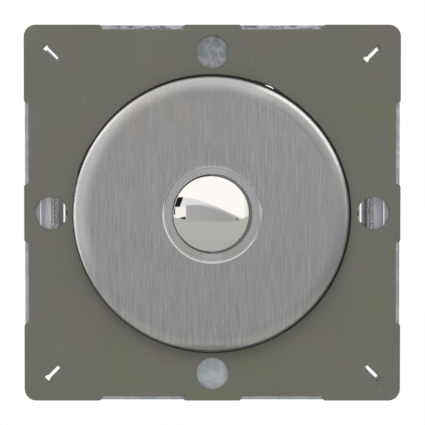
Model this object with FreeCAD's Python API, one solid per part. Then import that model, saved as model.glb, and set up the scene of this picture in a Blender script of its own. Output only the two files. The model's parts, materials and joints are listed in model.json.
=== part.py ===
"""Flush pushbutton light switch: square plate on a steel frame, round steel fascia and a domed push button.

Millimetres. Every piece is drafted lying on its back: x to the right, y up the wall, z out of the wall,
with z = 0 at the back of the steel frame and the button's axis at x = y = 0. save() then stands it up, so
that in the saved part +Z is up, the face looks along -Y and the wall plane is y = 0.
"""

import FreeCAD
import Part
import math
import os

V = FreeCAD.Vector

# Clearances and the overlap of features that are fused
running_clearance = 0.05
frame_hole_clearance = 0.1
screw_clearance = 0.1
seat_clearance = 0.2
joint_overlap = 0.5

# Front plate
plate_thickness = 1.2
plate_corner = 2.2
plate_edge_round = 0.2
disc_gap = 0.35
notch_start = 5.4
notch_length = 15.2
notch_depth = 0.85
notch_mouth_round = 0.5
notch_floor_round = 0.25
access_hole_radius = 3.0
access_edge = 5.0
access_claw_inset = 1.1
corner_slot_edge = 5.3
corner_slot_length = 3.75
corner_slot_width = 0.9
corner_head_length = 0.5
corner_head_width = 1.35

# Steel mounting frame
frame_thickness = 1.0
frame_corner = 2.0
frame_inset = 0.1
side_slot_width = 4.4
side_slot_height = 12.0
side_slot_inset = 0.3
side_slot_round = 0.15
tongue_thickness = 0.2
tongue_rise = 0.9
tongue_length = 2.0
light_gap_angle = 65.5
light_gap_radius = 2.0

# Fascia disc, pressed from sheet
disc_overlap = 3.0
disc_sheet = 0.8
disc_front = 4.5
disc_skirt_back = 1.5
disc_slope_width = 1.67
disc_slope_drop = 1.5
disc_slope_round = 4.5
disc_skirt_round = 0.6
disc_drop = 0.08
disc_recess_gap = 0.18
disc_recess_depth = 0.4
disc_recess_slope = 0.15
disc_recess_round = 0.08

# Fascia carrier, moulded
carrier_web = 2.0
carrier_wall = 1.6
carrier_boss_radius = 2.8
carrier_rib = 1.0
carrier_ribs = 8
carrier_flange = 0.4
carrier_chamfer_width = 2.9
carrier_chamfer_height = 1.4

# Bezel and its nut
bezel_bore_gap = 0.45
bezel_barrel_wall = 0.85
bezel_overhang = 0.55
bezel_flange = 0.65
bezel_barrel_length = 5.1
bezel_edge_round = 0.1
bezel_bore_round = 0.15
bezel_nut_wall = 1.7
bezel_nut_height = 2.2
bezel_nut_round = 0.3

# Push button cap
button_radius = 7.0
button_edge_front = 5.4
button_dome_rise = 1.9
button_edge_round = 0.3
button_wall = 0.8
button_skirt_back = 1.9
button_travel = 2.5

# Plunger
stem_radius = 3.2
head_collar = 0.5
stop_gap = 0.1
yoke_front_wall = 0.9
yoke_back_wall = 1.4
yoke_side_wall = 1.45
yoke_depth = 6.8
yoke_corner = 0.8
spring_spigot_radius = 1.9
spring_spigot_height = 1.0

# Housing and cover, moulded
housing_radius = 22.4
housing_flat_cut = 0.4
housing_wall = 1.8
housing_front_recess = 1.4
housing_web = 1.6
housing_rib = 1.2
web_rib_height = 3.0
guide_tube_length = 6.6
guide_tube_wall = 1.35
cover_thickness = 2.0
cover_lip_height = 1.2
cover_lip_wall = 1.2
cover_edge_round = 0.5
post_width = 5.0
post_depth = 3.5
driver_hole_radius = 2.8
wire_hole_radius = 1.5
wire_hole_offset = 1.9
wire_hole_inset = 2.5

# Housing screws
housing_screw_edge = 3.9
housing_screw_radius = 1.2
housing_screw_head_radius = 2.2
housing_screw_head_height = 1.3
housing_screw_bite = 2.3

# Contacts
bridge_width = 6.0
bridge_end_gap = 0.8
bridge_thickness = 0.8
bridge_window_clearance = 0.15
contact_spring_length = 2.4
tip_inset = 2.0
tip_radius = 1.5
tip_height = 0.9
tip_edge_round = 0.3
closed_gap = 0.1
contact_width = 6.4
contact_thickness = 1.0
contact_pad_margin = 0.4
contact_heel_round = 0.8
contact_leg_margin = 0.4
contact_post_height = 2.4

# Terminal clamps
cage_width = 8.4
cage_inner_height = 4.3
cage_length = 5.6
cage_wall = 0.9
cage_edge = 10.4
cage_contact_gap = 0.4
terminal_screw_radius = 1.5
terminal_screw_bite = 0.3
terminal_screw_open = 0.7
terminal_head_radius = 2.4
terminal_head_height = 1.5
driver_slot_width = 0.8
driver_slot_depth = 0.7

# Springs
return_spring_radius = 2.35
return_spring_wire = 0.4
return_spring_turns = 4
contact_spring_radius = 1.5
contact_spring_wire = 0.3
contact_spring_turns = 2.5

# Claws that grip the wall box
claw_screw_radius = 1.5
claw_head_radius = 1.9
claw_screw_past_housing = 1.0
claw_screw_tail = 3.0
claw_nut_gap = 0.9
claw_nut_width = 4.8
claw_nut_height = 5.2
claw_nut_thickness = 3.0
trunnion_radius = 1.0
trunnion_length = 1.4
claw_sheet = 1.7
claw_arm = 1.2
claw_bend_round = 1.0
claw_web_gap = 1.2
claw_front_depth = 2.5
claw_lip_reach = 1.7
claw_lip_thickness = 1.0
claw_tooth_reach = 0.9
claw_tooth_count = 4
claw_arm_gap = 0.15
claw_eye_wall = 1.4
claw_groove_depth = 0.5

# Earth spring
earth_angle = 157.0
earth_span_angle = 12.0
earth_gap = 0.08
earth_sheet = 0.15
earth_slot_clearance = 0.25
earth_slot_spare_angle = 2.0
earth_rise = 2.0
earth_foot_sheet = 0.2
earth_foot_width = 3.6
earth_foot_length = 3.32
earth_rivet_radius = 0.9
earth_rivet_head_radius = 1.6
earth_rivet_head_height = 0.6

# Worked out from the sizes above, from the housing outwards to the edge of the plate
housing_flat = housing_radius - housing_flat_cut
frame_opening_radius = housing_radius + seat_clearance
disc_radius = frame_opening_radius + disc_overlap
plate_opening_radius = disc_radius + disc_gap
claw_screw_offset = housing_flat + claw_nut_gap + claw_nut_width / 2
claw_web_inner = claw_screw_offset + claw_nut_width / 2 + claw_web_gap
access_offset = claw_web_inner + access_claw_inset
plate_side = 2 * (access_offset + access_edge)
frame_side = plate_side - 2 * frame_inset
corner_slot_reach = (plate_side / 2 - corner_slot_edge) * math.sqrt(2)
side_slot_offset = access_offset - side_slot_inset
earth_radius = disc_radius + earth_gap
earth_rivet_distance = earth_radius + earth_foot_length

# Worked out round the button, from the cap outwards
bezel_bore_radius = button_radius + bezel_bore_gap
bezel_barrel_radius = bezel_bore_radius + bezel_barrel_wall
bezel_radius = bezel_barrel_radius + bezel_overhang
bezel_nut_flats = 2 * (bezel_barrel_radius + bezel_nut_wall)
disc_recess_radius = bezel_radius + disc_recess_gap

# Worked out inside the housing
housing_screw_circle = housing_radius - housing_screw_edge
cage_base = housing_radius - cage_edge
cage_inside = cage_base + cage_wall
cage_inside_top = cage_inside + cage_inner_height
cage_top = cage_inside_top + cage_wall
wire_row_height = cage_inside + wire_hole_inset
bridge_length = 2 * (cage_base - bridge_end_gap)
tip_offset = bridge_length / 2 - tip_inset
leg_low = cage_inside + running_clearance
leg_high = leg_low + contact_thickness
rib_half_gap = cage_width / 2 + seat_clearance
nut_corner_radius = bezel_nut_flats / math.sqrt(3)
claw_sink_depth = claw_head_radius - claw_screw_radius

# Worked out from front to back
plate_back = frame_thickness
plate_front = plate_back + plate_thickness
recess_floor = disc_front - disc_recess_depth
carrier_front = disc_front - disc_sheet
carrier_pocket = recess_floor - disc_sheet
carrier_web_back = carrier_pocket - carrier_web
button_cavity_top = button_edge_front - 0.6 * button_wall
housing_web_front = -housing_front_recess
housing_web_back = housing_web_front - housing_web
guide_tube_end = housing_web_front - guide_tube_length
yoke_front = guide_tube_end - stop_gap
window_front = yoke_front - yoke_front_wall
bridge_front = window_front - contact_spring_length
bridge_back = bridge_front - bridge_thickness
yoke_back = bridge_back - yoke_back_wall
moving_tip_back = bridge_back - tip_height
fixed_tip_front = moving_tip_back - button_travel - closed_gap
contact_front = fixed_tip_front - tip_height
contact_back = contact_front - contact_thickness
housing_back = contact_back - contact_post_height
cover_back = housing_back - cover_thickness
cage_back = contact_front + cage_contact_gap
cage_front = cage_back + cage_length
cage_axis = (cage_back + cage_front) / 2
leg_front = cage_front + contact_leg_margin
claw_screw_back = housing_back - claw_screw_past_housing
claw_nut_depth = -claw_screw_back - claw_screw_tail


def cylinder(radius, low, high, x=0.0, y=0.0):
    """Round bar along z between two heights."""
    return Part.makeCylinder(radius, high - low, V(x, y, low))


def ring(outer, inner, low, high, x=0.0, y=0.0):
    """Plain tube along z between two heights."""
    return cylinder(outer, low, high, x, y).cut(cylinder(inner, low, high, x, y))


def block(x_range, y_range, z_range):
    """Box given by its limits along each axis."""
    size = [high - low for low, high in (x_range, y_range, z_range)]
    return Part.makeBox(size[0], size[1], size[2], V(x_range[0], y_range[0], z_range[0]))


def turned(shape, degrees, axis=V(0, 0, 1), about=V(0, 0, 0)):
    """Copy of a shape turned about an axis."""
    copy = shape.copy()
    copy.rotate(about, axis, degrees)
    return copy


def mirrored_x(shape):
    """Copy of a shape on the other side of the button."""
    return shape.mirror(V(0, 0, 0), V(1, 0, 0))


def rounded_face(corners, place):
    """Flat face through corners (u, v, radius), each rounded by its radius; place maps (u, v) to a point."""
    points = [V(u, v, 0) for u, v, _ in corners]
    arcs = {}
    ends = []
    for index, (_, _, radius) in enumerate(corners):
        here = points[index]
        before = (points[index - 1] - here).normalize()
        after = (points[(index + 1) % len(points)] - here).normalize()
        if radius == 0:
            ends.append((here, here))
            continue
        half = before.getAngle(after) / 2
        reach = radius / math.tan(half)
        start = here + before * reach
        end = here + after * reach
        centre = here + (before + after).normalize() * (radius / math.sin(half))
        middle = centre + (here - centre).normalize() * radius
        arcs[index] = Part.Arc(place(start), place(middle), place(end)).toShape()
        ends.append((start, end))
    outline = []
    for index, (start, end) in enumerate(ends):
        if index in arcs:
            outline.append(arcs[index])
        following = ends[(index + 1) % len(ends)][0]
        if end.distanceToPoint(following) > 1e-6:
            outline.append(Part.LineSegment(place(end), place(following)).toShape())
    return Part.Face(Part.Wire(outline))


def revolved(corners):
    """Body of revolution about z from corners (radius, height, rounding)."""
    face = rounded_face(corners, lambda p: V(p.x, 0, p.y))
    return face.revolve(V(0, 0, 0), V(0, 0, 1), 360)


def prism(corners, low, high):
    """Straight-sided body from corners (x, y, rounding) between two heights."""
    face = rounded_face(corners, lambda p: V(p.x, p.y, low))
    return face.extrude(V(0, 0, high - low))


def obround(length, width, low, high):
    """Slot-shaped body, long along x, centred on the z axis."""
    radius = width / 2
    reach = length / 2 - radius
    ends = [cylinder(radius, low, high, x) for x in (-reach, reach)]
    return fused([block((-reach, reach), (-radius, radius), (low, high))] + ends)


def square(side, corner, low, high):
    """Square body with rounded corners, centred on the z axis."""
    half = side / 2
    corners = [(-half, -half), (half, -half), (half, half), (-half, half)]
    return prism([(x, y, corner) for x, y in corners], low, high)


def fused(shapes):
    """One solid from pieces that share volume."""
    return shapes[0].multiFuse(shapes[1:]).removeSplitter()


def coil(mean_radius, wire, low, high, turns):
    """Spring of round wire between two heights: tilted half rings that run smoothly into each other."""
    halves = round(2 * turns)
    climb = (high - low - wire) / halves
    tilt = math.degrees(math.atan2(climb, 2 * mean_radius))
    radius = math.hypot(mean_radius, climb / 2)
    half_ring = Part.makeTorus(radius, wire / 2, V(0, 0, 0), V(0, 0, 1), -180, 180, 180)
    rings = []
    for index in range(halves):
        ring_half = turned(half_ring, tilt, V(0, 1, 0))
        if index % 2:
            ring_half = turned(ring_half, 180)
        ring_half.translate(V(0, 0, low + wire / 2 + (index + 0.5) * climb))
        rings.append(ring_half)
    return fused(rings)


def around(shape, count, first=0.0):
    """Copies of a shape spaced evenly around the z axis."""
    return [turned(shape, first + 360.0 * index / count) for index in range(count)]


def save(name, shape):
    """Stand the piece up against the wall and write it."""
    body = shape.copy()
    body.rotate(V(0, 0, 0), V(1, 0, 0), 90)
    if not body.isValid() or body.Volume <= 0:
        raise ValueError(name + " is not a sound solid")
    body.exportStep("parts/" + name + ".step")
    print(name, len(body.Solids), round(body.Volume, 2))


def front_plate():
    """Painted square plate: eight edge notches, round opening, four access holes and four corner slots."""
    edge = plate_side / 2
    floor = edge - notch_depth
    end = notch_start + notch_length
    side = [(-edge, -edge, plate_corner)]
    for inner, outer in ((-end, -notch_start), (notch_start, end)):
        side.append((inner, -edge, notch_mouth_round))
        side.append((inner, -floor, notch_floor_round))
        side.append((outer, -floor, notch_floor_round))
        side.append((outer, -edge, notch_mouth_round))
    outline = []
    for quarter in range(4):
        c, s = (1, 0, -1, 0)[quarter], (0, 1, 0, -1)[quarter]
        outline += [(c * x - s * y, s * x + c * y, r) for x, y, r in side]
    plate = prism(outline, plate_back, plate_front)
    rim = [e for e in plate.Edges if all(abs(v.Z - plate_front) < 1e-6 for v in e.Vertexes)]
    plate = plate.makeFillet(plate_edge_round, rim)
    hole = cylinder(access_hole_radius, plate_back, plate_front, access_offset)
    cuts = [cylinder(plate_opening_radius, plate_back, plate_front)]
    cuts += around(hole, 4)
    for angle, head, _, _ in corner_slots():
        cuts.append(turned(corner_slot(head), angle))
    return plate.cut(cuts)


def corner_slots():
    """Direction, end that carries the head, side of the tongue and whether the head goes through the frame."""
    return [(45, -1, 1, True), (135, 1, 1, True), (225, 1, -1, True), (315, 1, -1, False)]


def corner_slot(head):
    """Square-ended slot through the plate with a wider head at one end."""
    half = corner_slot_length / 2
    middle = corner_slot_reach
    z_range = (plate_back, plate_front)
    bar = block((middle - half, middle + half), (-corner_slot_width / 2, corner_slot_width / 2), z_range)
    ends = sorted((middle + head * half, middle + head * (half - corner_head_length)))
    return fused([bar, block(ends, (-corner_head_width / 2, corner_head_width / 2), z_range)])


def frame_key(head, side, through):
    """Opening in the frame behind a corner slot, beside the tongue."""
    inner = corner_slot_length / 2 - corner_head_length
    middle = corner_slot_reach
    edge = corner_slot_width / 2 - running_clearance
    y_range = sorted((-side * edge, side * (edge - tongue_thickness)))
    opening = block((middle - inner, middle + inner), y_range, (0, frame_thickness))
    if not through:
        return opening
    half_head = corner_head_width / 2 - running_clearance
    ends = sorted((middle + head * (inner - tongue_thickness), middle + head * (inner + corner_head_length)))
    return fused([opening, block(ends, (-half_head, half_head), (0, frame_thickness))])


def frame_tongue(side):
    """Tongue bent forward from the frame into a corner slot."""
    edge = corner_slot_width / 2 - running_clearance
    y_range = sorted((side * edge, side * (edge - tongue_thickness)))
    x_range = (corner_slot_reach - tongue_length / 2, corner_slot_reach + tongue_length / 2)
    return block(x_range, y_range, (0, frame_thickness + tongue_rise))


def mounting_frame():
    """Zinc-plated steel sheet: opening, side slots, countersunk claw holes and tongues that key the plate."""
    frame = square(frame_side, frame_corner, 0, frame_thickness)
    slot = turned(obround(side_slot_height, side_slot_width, 0, frame_thickness), 90)
    slot.translate(V(side_slot_offset, 0, 0))
    hole_radius = claw_screw_radius + frame_hole_clearance
    hole = cylinder(hole_radius, 0, frame_thickness, claw_screw_offset)
    sink_foot = V(claw_screw_offset, 0, frame_thickness - claw_sink_depth)
    sink = Part.makeCone(hole_radius, claw_head_radius + frame_hole_clearance, claw_sink_depth, sink_foot)
    cuts = [cylinder(frame_opening_radius, 0, frame_thickness), light_gap(0, frame_thickness)]
    cuts += around(slot, 2) + around(hole, 2) + around(sink, 2)
    cuts.append(earth_slot(0, frame_thickness))
    tongues = []
    for angle, head, side, through in corner_slots():
        cuts.append(turned(frame_key(head, side, through), angle))
        tongues.append(turned(frame_tongue(side), angle))
    frame = frame.cut(cuts)
    edges = [e for e in frame.Edges if on_side_slot(e)]
    frame = frame.makeFillet(side_slot_round, edges)
    return fused([frame] + tongues)


def on_side_slot(edge):
    """True for the front edge of a side slot."""
    box = edge.BoundBox
    if box.ZMin < frame_thickness - 1e-6 or max(abs(box.YMin), abs(box.YMax)) > side_slot_height / 2 + 0.1:
        return False
    distances = [abs(abs(x) - side_slot_offset) for x in (box.XMin, box.XMax)]
    return max(distances) < side_slot_width / 2 + 0.1


def light_gap(low, high):
    """Round bite beside the disc through which light passes."""
    distance = plate_opening_radius - light_gap_radius
    return turned(cylinder(light_gap_radius, low, high, distance), light_gap_angle)


def earth_slot(low, high):
    """Curved slot with clearance round the earth spring."""
    inner = earth_radius - earth_slot_clearance
    outer = earth_radius + earth_sheet + earth_slot_clearance
    return earth_sector(inner, outer, earth_slot_spare_angle, low, high)


def earth_sector(inner, outer, spare, low, high):
    """Part of a ring centred on the earth spring, longer than it by spare degrees at each end."""
    span = earth_span_angle + 2 * spare
    base = Part.makeCylinder(outer, high - low, V(0, 0, low), V(0, 0, 1), span)
    sector = base.cut(cylinder(inner, low, high))
    return turned(sector, earth_angle - span / 2)


def earth_spring():
    """Bronze strip that stands in the gap beside the disc, on a foot riveted behind the frame."""
    strip = earth_sector(earth_radius, earth_radius + earth_sheet, 0, -earth_foot_sheet, earth_rise)
    half = earth_foot_width / 2
    foot_start = earth_radius + earth_sheet / 3
    foot = block((foot_start, earth_rivet_distance + half), (-half, half), (-earth_foot_sheet, 0))
    foot = foot.cut(cylinder(earth_rivet_radius, -earth_foot_sheet, 0, earth_rivet_distance))
    return fused([strip, turned(foot, earth_angle)])


def earth_rivet():
    """Rivet that holds the earth spring's foot to the frame."""
    head_back = -earth_foot_sheet - earth_rivet_head_height
    head = cylinder(earth_rivet_head_radius, head_back, -earth_foot_sheet, earth_rivet_distance)
    shank = cylinder(earth_rivet_radius, -earth_foot_sheet, 0, earth_rivet_distance)
    return turned(fused([head, shank]), earth_angle)


def fascia_disc():
    """Pressed steel disc with a sloping shoulder, a short skirt and a shallow recess round the bezel."""
    hole = bezel_barrel_radius + seat_clearance
    inner_floor = disc_recess_radius + disc_recess_slope / 2
    slope = math.atan2(disc_slope_drop, disc_slope_width)
    slope_start = disc_radius - disc_slope_width
    slope_end = disc_front - disc_slope_drop
    inner_start = slope_start - disc_sheet * math.tan(slope / 2)
    inner_end = slope_end - disc_sheet * math.tan(math.pi / 4 - slope / 2)
    disc = revolved(
        [
            (disc_radius, disc_skirt_back, 0),
            (disc_radius, slope_end, disc_skirt_round),
            (slope_start, disc_front, disc_slope_round),
            (disc_recess_radius + disc_recess_slope, disc_front, disc_recess_round),
            (disc_recess_radius, recess_floor, disc_recess_round),
            (hole, recess_floor, 0),
            (hole, carrier_pocket, 0),
            (inner_floor, carrier_pocket, disc_recess_round),
            (inner_floor + disc_recess_slope, carrier_front, disc_recess_round),
            (inner_start, carrier_front, disc_slope_round - disc_sheet),
            (disc_radius - disc_sheet, inner_end, 0),
            (disc_radius - disc_sheet, disc_skirt_back, 0),
        ]
    )
    disc.translate(V(-disc_drop, -disc_drop, 0))
    return disc


def screw_places():
    """Centres of the four housing screws."""
    distance = housing_screw_circle / math.sqrt(2)
    return [(sx * distance, sy * distance) for sx, sy in ((1, 1), (-1, 1), (-1, -1), (1, -1))]


def fascia_carrier():
    """Moulded seat under the disc: flange and shoulder on the frame, spigot in its opening, web and bosses."""
    outer = disc_radius - disc_sheet - seat_clearance
    spigot = frame_opening_radius - seat_clearance
    pocket = disc_recess_radius + disc_recess_slope + disc_sheet
    bore = bezel_barrel_radius + seat_clearance / 2
    carrier = revolved(
        [
            (spigot, 0, 0),
            (spigot, frame_thickness, 0),
            (outer, frame_thickness, 0),
            (outer, carrier_front - carrier_chamfer_height, 0),
            (outer - carrier_chamfer_width, carrier_front, 0),
            (pocket, carrier_front, 0),
            (pocket, carrier_pocket, 0),
            (bore, carrier_pocket, 0),
            (bore, carrier_web_back, 0),
            (spigot - carrier_wall, carrier_web_back, joint_overlap),
            (spigot - carrier_wall, 0, 0),
        ]
    )
    flange_low = frame_thickness
    flange_high = frame_thickness + carrier_flange
    flange_radius = plate_opening_radius - running_clearance
    flange = ring(flange_radius, outer - joint_overlap, flange_low, flange_high)
    flange = flange.cut([light_gap(flange_low, flange_high), earth_slot(flange_low, flange_high)])
    solids = [carrier, flange]
    rib_inner = nut_corner_radius + carrier_rib
    rib_top = carrier_web_back + joint_overlap
    half_rib = carrier_rib / 2
    rib = block((rib_inner, spigot - carrier_wall / 2), (-half_rib, half_rib), (seat_clearance, rib_top))
    solids += around(rib, carrier_ribs, 180 / carrier_ribs)
    solids += [cylinder(carrier_boss_radius, 0, rib_top, x, y) for x, y in screw_places()]
    holes = [cylinder(housing_screw_radius, 0, housing_screw_bite, x, y) for x, y in screw_places()]
    return fused(solids).cut(holes)


def button_bezel():
    """Polished ring with a barrel that runs back through disc and carrier."""
    front = recess_floor + bezel_flange
    back = recess_floor - bezel_barrel_length
    return revolved(
        [
            (bezel_bore_radius, back, 0),
            (bezel_barrel_radius, back, bezel_bore_round),
            (bezel_barrel_radius, recess_floor, 0),
            (bezel_radius, recess_floor, 0),
            (bezel_radius, front, bezel_edge_round),
            (bezel_bore_radius, front, bezel_bore_round),
        ]
    )


def bezel_nut():
    """Hexagon nut that clamps bezel, disc and carrier together."""
    angles = [math.tau * k / 6 for k in range(6)]
    low = carrier_web_back - bezel_nut_height
    points = [(nut_corner_radius * math.cos(a), nut_corner_radius * math.sin(a)) for a in angles]
    corners = [(x, y, bezel_nut_round) for x, y in points]
    nut = prism(corners, low, carrier_web_back)
    return nut.cut(cylinder(bezel_barrel_radius + running_clearance, low, carrier_web_back))


def push_button():
    """Turned and polished cap with a shallow dome and a skirt that runs in the bezel."""
    apex = button_edge_front + button_dome_rise
    sphere = (button_radius**2 + button_dome_rise**2) / (2 * button_dome_rise)
    half_width = button_radius / 2
    half_height = apex - sphere + math.sqrt(sphere**2 - half_width**2)
    inside = button_radius - button_wall
    rim = V(button_radius, 0, button_edge_front)
    dome = Part.Arc(V(0, 0, apex), V(half_width, 0, half_height), rim).toShape()
    corners = [
        (button_radius, button_edge_front),
        (button_radius, button_skirt_back),
        (inside, button_skirt_back),
        (inside, button_cavity_top),
        (0, button_cavity_top),
        (0, apex),
    ]
    points = [V(r, 0, z) for r, z in corners]
    lines = [Part.LineSegment(a, b).toShape() for a, b in zip(points, points[1:])]
    cap = Part.Face(Part.Wire([dome] + lines)).revolve(V(0, 0, 0), V(0, 0, 1), 360)
    edge = [e for e in cap.Edges if on_dome_edge(e)]
    return cap.makeFillet(button_edge_round, edge)


def on_dome_edge(edge):
    """True for the round edge between the cap's dome and its side."""
    box = edge.BoundBox
    at_height = abs(box.ZMin - button_edge_front) < 1e-6 and box.ZLength < 1e-6
    return at_height and abs(box.XMax - button_radius) < 1e-6


def plunger():
    """Moulded plunger: head in the cap, stem in the guide and a yoke that carries the bridge."""
    head_radius = button_radius - button_wall - running_clearance
    collar_back = button_skirt_back - head_collar
    head = cylinder(head_radius, collar_back, button_cavity_top)
    collar = cylinder(button_radius - running_clearance, collar_back, button_skirt_back)
    stem = cylinder(stem_radius, yoke_front, collar_back + joint_overlap)
    window_half = bridge_width / 2 + bridge_window_clearance
    side = window_half + yoke_side_wall
    half_depth = yoke_depth / 2
    yoke = block((-side, side), (-half_depth, half_depth), (yoke_back, yoke_front))
    upright = [e for e in yoke.Edges if abs(e.Vertexes[0].Z - e.Vertexes[1].Z) > 1]
    yoke = yoke.makeFillet(yoke_corner, upright)
    spigot = cylinder(spring_spigot_radius, yoke_back - spring_spigot_height, yoke_back + joint_overlap)
    window = block((-window_half, window_half), (-half_depth, half_depth), (bridge_back, window_front))
    return fused([head, collar, stem, yoke, spigot]).cut(window)


def return_spring():
    """Coil between the cover and the back of the yoke."""
    return coil(return_spring_radius, return_spring_wire, housing_back, yoke_back, return_spring_turns)


def contact_spring():
    """Coil in the yoke's window that presses the bridge."""
    return coil(contact_spring_radius, contact_spring_wire, bridge_front, window_front, contact_spring_turns)


def contact_bridge():
    """Copper strip with rounded ends, carried crosswise in the yoke."""
    half = bridge_length / 2
    wide = bridge_width / 2
    corners = [(-wide, -half), (wide, -half), (wide, half), (-wide, half)]
    return prism([(x, y, tip_radius) for x, y in corners], bridge_back, bridge_front)


def bridge_tip(side):
    """Silver contact rivet on the back of the bridge."""
    tip = cylinder(tip_radius, moving_tip_back, bridge_back, 0, side * tip_offset)
    edge = [e for e in tip.Edges if abs(e.BoundBox.ZMax - moving_tip_back) < 1e-6]
    return tip.makeFillet(tip_edge_round, edge)


def fixed_tip(side):
    """Silver contact rivet on the fixed contact."""
    tip = cylinder(tip_radius, contact_front, fixed_tip_front, 0, side * tip_offset)
    edge = [e for e in tip.Edges if abs(e.BoundBox.ZMin - fixed_tip_front) < 1e-6]
    return tip.makeFillet(tip_edge_round, edge)


def fixed_contact(side):
    """Bent copper contact: a pad under the tip and a leg that runs forward through the clamp."""
    wide = contact_width / 2
    base = tip_offset - tip_radius - contact_pad_margin
    pad = block((-wide, wide), (base, leg_high), (contact_back, contact_front))
    leg = block((-wide, wide), (leg_low, leg_high), (contact_back, leg_front))
    contact = fused([pad, leg])
    heel = [e for e in contact.Edges if is_level(e, leg_high, contact_back)]
    contact = contact.makeFillet(contact_heel_round, heel)
    return contact if side > 0 else turned(contact, 180)


def is_level(edge, y, z):
    """True for an edge along x at the given place."""
    box = edge.BoundBox
    return box.YLength < 1e-6 and box.ZLength < 1e-6 and abs(box.YMin - y) < 1e-6 and abs(box.ZMin - z) < 1e-6


def cage_clamp(side):
    """Steel clamp bent round the leg, with a hole in its outer wall for the terminal screw."""
    wide = cage_width / 2
    body = block((-wide, wide), (cage_base, cage_top), (cage_back, cage_front))
    upright = [e for e in body.Edges if e.BoundBox.ZLength > 1]
    body = body.makeFillet(cage_wall, upright)
    opening = block(
        (-wide + cage_wall, wide - cage_wall), (cage_inside, cage_inside_top), (cage_back, cage_front)
    )
    hole = Part.makeCylinder(
        terminal_screw_radius, 2 * cage_wall, V(0, cage_inside_top - cage_wall / 2, cage_axis), V(0, 1, 0)
    )
    cage = body.cut([opening, hole])
    return cage if side > 0 else turned(cage, 180)


def terminal_screw(side):
    """Slotted screw that draws the clamp on to the wire."""
    tip = cage_inside_top - terminal_screw_bite
    head_low = cage_top + terminal_screw_open
    top = head_low + terminal_head_height
    up = V(0, 1, 0)
    shank = Part.makeCylinder(terminal_screw_radius, head_low - tip, V(0, tip, cage_axis), up)
    head = Part.makeCylinder(terminal_head_radius, terminal_head_height, V(0, head_low, cage_axis), up)
    groove = block(
        (-terminal_head_radius, terminal_head_radius),
        (top - driver_slot_depth, top),
        (cage_axis - driver_slot_width / 2, cage_axis + driver_slot_width / 2),
    )
    screw = fused([shank, head]).cut(groove)
    return screw if side > 0 else turned(screw, 180)


def housing_outline(low, high):
    """Round body with a flat at each side where the claw nuts slide."""
    body = cylinder(housing_radius, low, high)
    return body.common(block((-housing_flat, housing_flat), (-housing_radius, housing_radius), (low, high)))


def switch_housing():
    """Moulded shell: recessed front web, guide tube, screw bosses, clamp pockets and driver holes."""
    inner = cylinder(housing_radius - housing_wall, housing_back, 0)
    shell = housing_outline(housing_back, 0).cut(inner)
    web = cylinder(housing_radius - housing_wall / 2, housing_web_back, housing_web_front)
    guide_outer = stem_radius + running_clearance + guide_tube_wall
    tube = cylinder(guide_outer, guide_tube_end, housing_web_front)
    solids = [shell, web, tube]
    solids += [cylinder(carrier_boss_radius, housing_back, 0, x, y) for x, y in screw_places()]
    rib_low = cage_base - joint_overlap
    rib_high = housing_radius - housing_wall / 2
    rib_end = math.sqrt(rib_high**2 - (rib_half_gap + housing_rib) ** 2)
    for side in (1, -1):
        y_range = sorted((side * rib_low, side * rib_end))
        for x in (rib_half_gap, -rib_half_gap - housing_rib):
            solids.append(block((x, x + housing_rib), y_range, (cage_back - stop_gap, housing_web_front)))
        y_range = sorted((side * leg_low, side * rib_high))
        z_range = (leg_front + stop_gap, housing_web_front)
        solids.append(block((-housing_rib / 2, housing_rib / 2), y_range, z_range))
    half_rib = housing_rib / 2
    web_rib = block(
        (guide_outer - joint_overlap, rib_high),
        (-half_rib, half_rib),
        (housing_web_back - web_rib_height, housing_web_back + joint_overlap),
    )
    solids += around(web_rib, 2)
    cuts = [cylinder(stem_radius + running_clearance, guide_tube_end, housing_web_front)]
    start = V(0, -housing_radius, cage_axis)
    drill = Part.makeCylinder(driver_hole_radius, 2 * housing_radius, start, V(0, 1, 0))
    cuts.append(drill.cut(cylinder(housing_radius - housing_wall - seat_clearance, housing_back, 0)))
    screw_hole = housing_screw_radius + screw_clearance
    cuts += [cylinder(screw_hole, housing_back, 0, x, y) for x, y in screw_places()]
    return fused(solids).cut(cuts)


def housing_cover():
    """Moulded back: locating lip, posts under the contacts, wire holes and counterbored screw holes."""
    cover = housing_outline(cover_back, housing_back)
    back_edges = [e for e in cover.Edges if e.BoundBox.ZMax < cover_back + 1e-6]
    cover = cover.makeFillet(cover_edge_round, back_edges)
    low = housing_back - joint_overlap
    lip_radius = housing_radius - housing_wall - screw_clearance
    lip = ring(lip_radius, lip_radius - cover_lip_wall, low, housing_back + cover_lip_height)
    boss_hole = carrier_boss_radius + seat_clearance
    lip = lip.cut([cylinder(boss_hole, low, 0, x, y) for x, y in screw_places()])
    solids = [cover, lip]
    post_low = tip_offset - tip_radius
    for side in (1, -1):
        y_range = sorted((side * post_low, side * (post_low + post_depth)))
        x_range = (-post_width / 2, post_width / 2)
        solids.append(block(x_range, y_range, (low, contact_back - running_clearance)))
    solids.append(cylinder(spring_spigot_radius, low, housing_back + spring_spigot_height))
    cuts = []
    for x, y in screw_places():
        cuts.append(cylinder(housing_screw_radius + screw_clearance, cover_back, housing_back, x, y))
        seat = cover_back + housing_screw_head_height
        cuts.append(cylinder(housing_screw_head_radius + seat_clearance, cover_back, seat, x, y))
    for x in (wire_hole_offset, -wire_hole_offset):
        for y in (wire_row_height, -wire_row_height):
            cuts.append(cylinder(wire_hole_radius, cover_back, housing_back, x, y))
    return fused(solids).cut(cuts)


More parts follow.
